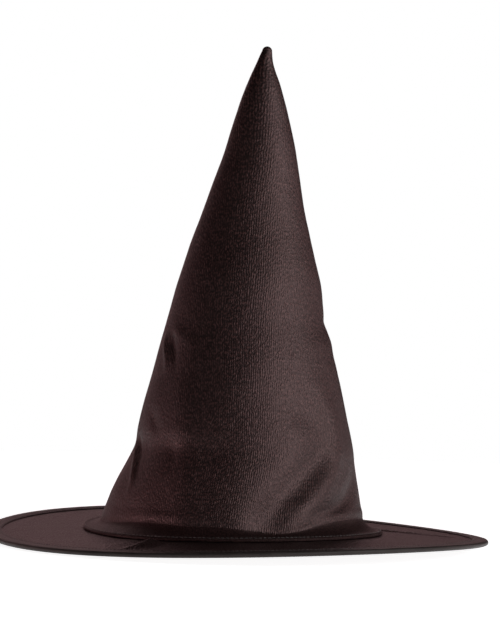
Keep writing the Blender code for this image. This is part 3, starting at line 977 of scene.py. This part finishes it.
def make_sweatband(look, thread_look, label_look):
    columns = 300
    turns = full_turn(columns)
    profile = band_profile()
    outer = [band_point(r, turns, z) for r, z in profile]
    inner = [band_point(r - BAND_CLOTH, turns, z) for r, z in profile]
    rings = np.array(outer[::-1] + inner)
    points = rings.reshape(-1, 3)
    faces = ring_faces(len(rings), columns, close_rings=True)
    piece = make_mesh("ribbon_sweatband", points, faces, look, 60.0)
    along = np.tile(turns * SWEATBAND_RADIUS, len(rings))
    levels = [z for _, z in profile]
    tall = np.repeat(levels[::-1] + levels, columns)
    add_uv(piece, "cut", np.column_stack([along, tall]))
    settle(piece, "sweatband", "sweatband")
    fine = full_turn(PATH_POINTS)
    path = band_point(SWEATBAND_RADIUS - BAND_CLOTH, fine, SWEATBAND_LOW.z + BAND_STITCH_RISE)
    inwards = np.stack([-np.cos(fine), -np.sin(fine), np.zeros(PATH_POINTS)], axis=1)
    row = stitch_row("sweatband_stitches", thread_look, path, inwards, BAND_PITCH, FINE_THREAD)
    settle(row, "thread", "sweatband_stitching")
    make_label(label_look)


def make_label(look):
    """A blank folded tape label that hangs from the sweatband's upper edge at the back."""
    low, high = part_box("care_label")
    width = high.x - low.x
    height = high.z - low.z
    across, cuts = 13, 15
    points = []
    for face in (0, 1):
        for i in range(cuts):
            part = i / (cuts - 1)
            for j in range(across):
                side = j / (across - 1) - 0.5
                x = (low.x + high.x) / 2 + side * width
                curl = 0.0011 * math.sin(part * 2.2) + 0.0009 * (2 * side) ** 2
                y = high.y - 0.0004 - (high.y - low.y) * part * 0.55 - curl - (0.0006 + LABEL_CLOTH) * face
                z = low.z + height * part
                points.append((x, y, z + float(seat_lift(x, y, z / MM))))
    layer = across * cuts
    faces = []
    for i in range(cuts - 1):
        for j in range(across - 1):
            quad = (i * across + j, i * across + j + 1, (i + 1) * across + j + 1, (i + 1) * across + j)
            faces.append(quad[::-1])
            faces.append(tuple(v + layer for v in quad))
    border = list(range(across))
    border += [i * across + across - 1 for i in range(1, cuts)]
    border += [(cuts - 1) * across + j for j in reversed(range(across - 1))]
    border += [i * across for i in reversed(range(1, cuts - 1))]
    for one, two in zip(border, border[1:] + border[:1]):
        faces.append((one, two, two + layer, one + layer))
    piece = make_mesh("blank_label", points, faces, look, 60.0)
    add_uv(piece, "cut", np.array(points)[:, [0, 2]])
    settle(piece, "label", "care_label")


# ---- stage, lights and camera ----
FLOOR_RADIUS = 1.15
FLOOR_GLOW = 0.90
FAR_GLOW = 0.12
ROOM_GLOW = 0.004
HORIZON = 0.004
FLOOR_DROP = 0.0004


def make_floor():
    bpy.ops.mesh.primitive_circle_add(vertices=96, radius=FLOOR_RADIUS, fill_type="NGON",
                                      location=(0.0, 0.0, -FLOOR_DROP))
    floor = bpy.context.object
    floor.name = "pale_floor"
    look = Look("pale_floor_paint")
    cloud = look.noise(look.object_place(), 3.0)
    look.feed(Base_Color=look.ramp(cloud, ((0.3, (0.90,) * 3), (0.7, (0.93,) * 3))))
    look.set(Roughness=0.9, Specular_IOR_Level=0.1, Emission_Strength=FLOOR_GLOW,
             Emission_Color=(1.0, 1.0, 1.0, 1.0))
    floor.data.materials.append(look.material)


def make_world():
    """A white backdrop; it lights the hat as a dark room over a white floor would."""
    world = bpy.data.worlds.new("studio")
    bpy.context.scene.world = world
    world.use_nodes = True
    tree = world.node_tree
    tree.nodes.clear()
    output, seen, room, place, split, below, ray, mix = (
        tree.nodes.new("ShaderNode" + kind) for kind in (
            "OutputWorld", "Background", "Background", "TexCoord", "SeparateXYZ", "MapRange",
            "LightPath", "MixShader"))
    seen.inputs["Color"].default_value = (1.0, 1.0, 1.0, 1.0)
    for key, value in (("From Min", HORIZON), ("From Max", -HORIZON), ("To Min", ROOM_GLOW),
                       ("To Max", FAR_GLOW)):
        below.inputs[key].default_value = value
    links = tree.links
    links.new(place.outputs["Generated"], split.inputs[0])
    links.new(split.outputs["Z"], below.inputs["Value"])
    room.inputs["Color"].default_value = (1.0, 0.74, 0.74, 1.0)
    links.new(below.outputs["Result"], room.inputs["Strength"])
    links.new(ray.outputs["Is Camera Ray"], mix.inputs[0])
    links.new(room.outputs[0], mix.inputs[1])
    links.new(seen.outputs[0], mix.inputs[2])
    links.new(mix.outputs[0], output.inputs[0])


def softbox(name, azimuth, elevation, distance, size, power, tint=(1.0, 1.0, 1.0), aim_height=0.17):
    """A rectangular light aimed at the crown; azimuth is from the front, towards +X."""
    turn, rise = math.radians(azimuth), math.radians(elevation)
    aim = Vector((0.0, 0.0, aim_height))
    place = aim + distance * Vector((math.sin(turn) * math.cos(rise),
                                     -math.cos(turn) * math.cos(rise), math.sin(rise)))
    light = bpy.data.lights.new(name, "AREA")
    light.shape = "RECTANGLE"
    light.size, light.size_y = size
    light.energy = power
    light.color = tint
    made = bpy.data.objects.new(name, light)
    made.location = place
    made.rotation_euler = (aim - place).to_track_quat("-Z", "Y").to_euler()
    made.visible_camera = False
    bpy.context.scene.collection.objects.link(made)
    return made


WARM = (1.0, 0.66, 0.67)


def make_lights():
    softbox("key_right", 55.0, 18.0, 2.0, (2.3, 1.3), 32.0)
    softbox("rim_right", 120.0, 8.0, 2.0, (1.0, 0.7), 2.4, WARM)
    softbox("rim_left", -108.0, 6.0, 2.0, (1.0, 0.5), 2.3, (1.0, 0.52, 0.55))
    low = softbox("low_left", -84.0, 0.0, 1.0, (0.25, 0.05), 0.020, (1.0, 0.62, 0.64), 0.034)
    low.data.spread = math.radians(9.0)
    softbox("back_low", -168.0, 6.0, 2.0, (2.2, 0.4), 1.6, (1.0, 0.58, 0.60))
    softbox("back_left", -150.0, 26.0, 2.0, (1.0, 0.7), 2.2, WARM)
    softbox("back_middle", 180.0, 26.0, 2.0, (1.0, 0.7), 1.6, WARM)


CAMERA_DISTANCE = 2.2
CAMERA_X = 0.0051
CAMERA_HEIGHT = 0.1928
CAMERA_PITCH = math.radians(0.46)
CAMERA_ROLL = math.radians(1.51)
CAMERA_LENS = 167.0


def make_camera():
    data = bpy.data.cameras.new("camera")
    data.lens = CAMERA_LENS
    data.sensor_width = 36.0
    data.clip_end = 100.0
    camera = bpy.data.objects.new("camera", data)
    aim = Matrix.Rotation(math.pi / 2 - CAMERA_PITCH, 4, "X")
    roll = Matrix.Rotation(CAMERA_ROLL, 4, "Z")
    place = Matrix.Translation((CAMERA_X, -CAMERA_DISTANCE, CAMERA_HEIGHT))
    camera.matrix_world = place @ aim @ roll
    bpy.context.scene.collection.objects.link(camera)
    bpy.context.scene.camera = camera
    bpy.context.scene.view_settings.view_transform = "Standard"


def main():
    crown_satin = satin("ribbed_satin", (0.0004, 0.0002, 0.0002), (0.0420, 0.0187, 0.0176),
                        (0.60, 0.38), 0.40, (0.00014, 0.00026, 0.00018), 0.60)
    brim_satin = satin("crinkled_satin", (0.0006, 0.0002, 0.0002), (0.0120, 0.0049, 0.0048),
                       (0.60, 0.36), 0.06, (0.00110, 0.00050, 0.00002), 0.44, (420.0, 240.0))
    # the flared foot's satin is the crown's cloth made darker and less glossy: painted shade for the dark
    # band round the foot
    shaded_foot_satin = satin("foot_satin_painted_shade", (0.0052, 0.0025, 0.0024), (0.0230, 0.0112, 0.0108),
                       (0.60, 0.44), 0.05, (0.00030, 0.00014, 0.00002), 0.26)
    edge_tape = tape("edge_tape", (0.0070, 0.0056, 0.0053), (0.0300, 0.0246, 0.0232), (0.40, 0.52), 0.0006)
    board = felt("pressed_board", (0.05,) * 3, (0.11,) * 3, 700.0)
    bonded = felt("bonded_fibre", (0.035, 0.035, 0.036), (0.085, 0.085, 0.088), 500.0)
    ribbon = tape("grosgrain", (0.010, 0.009, 0.009), (0.035, 0.032, 0.032), (0.60, 0.78), 0.0014)
    label_tape = tape("label_tape", (0.62, 0.61, 0.58), (0.78, 0.77, 0.73), (0.50, 0.65), 0.0005)
    thread = twisted_thread("polyester_thread", (0.022, 0.017, 0.017), (0.080, 0.062, 0.062))
    steel = drawn_metal("spring_steel", (0.42, 0.43, 0.45), (0.62, 0.63, 0.64), (0.28, 0.42))
    sleeve = drawn_metal("crimp_metal", (0.58,) * 3, (0.76, 0.76, 0.77), (0.30, 0.45))

    make_camera()
    make_crown_shell(crown_satin, shaded_foot_satin)
    inner, angles, heights = make_interlining(bonded)
    make_seam_inside(crown_satin, thread, inner, angles, heights)
    make_covers(brim_satin)
    make_board(board)
    make_binding(edge_tape)
    make_wire(steel, sleeve)
    stitch_radius = BINDING_INNER_RADIUS + STITCH_INSET
    brim_stitches("binding_stitches_top", thread, stitch_radius, BINDING_TOP, 1.0, "binding_stitching_top")
    brim_stitches("binding_stitches_under", thread, stitch_radius, 0.0, -1.0, "binding_stitching_bottom")
    make_foot_stitches(thread)
    make_sweatband(ribbon, thread, label_tape)
    make_floor()
    make_world()
    make_lights()


main()
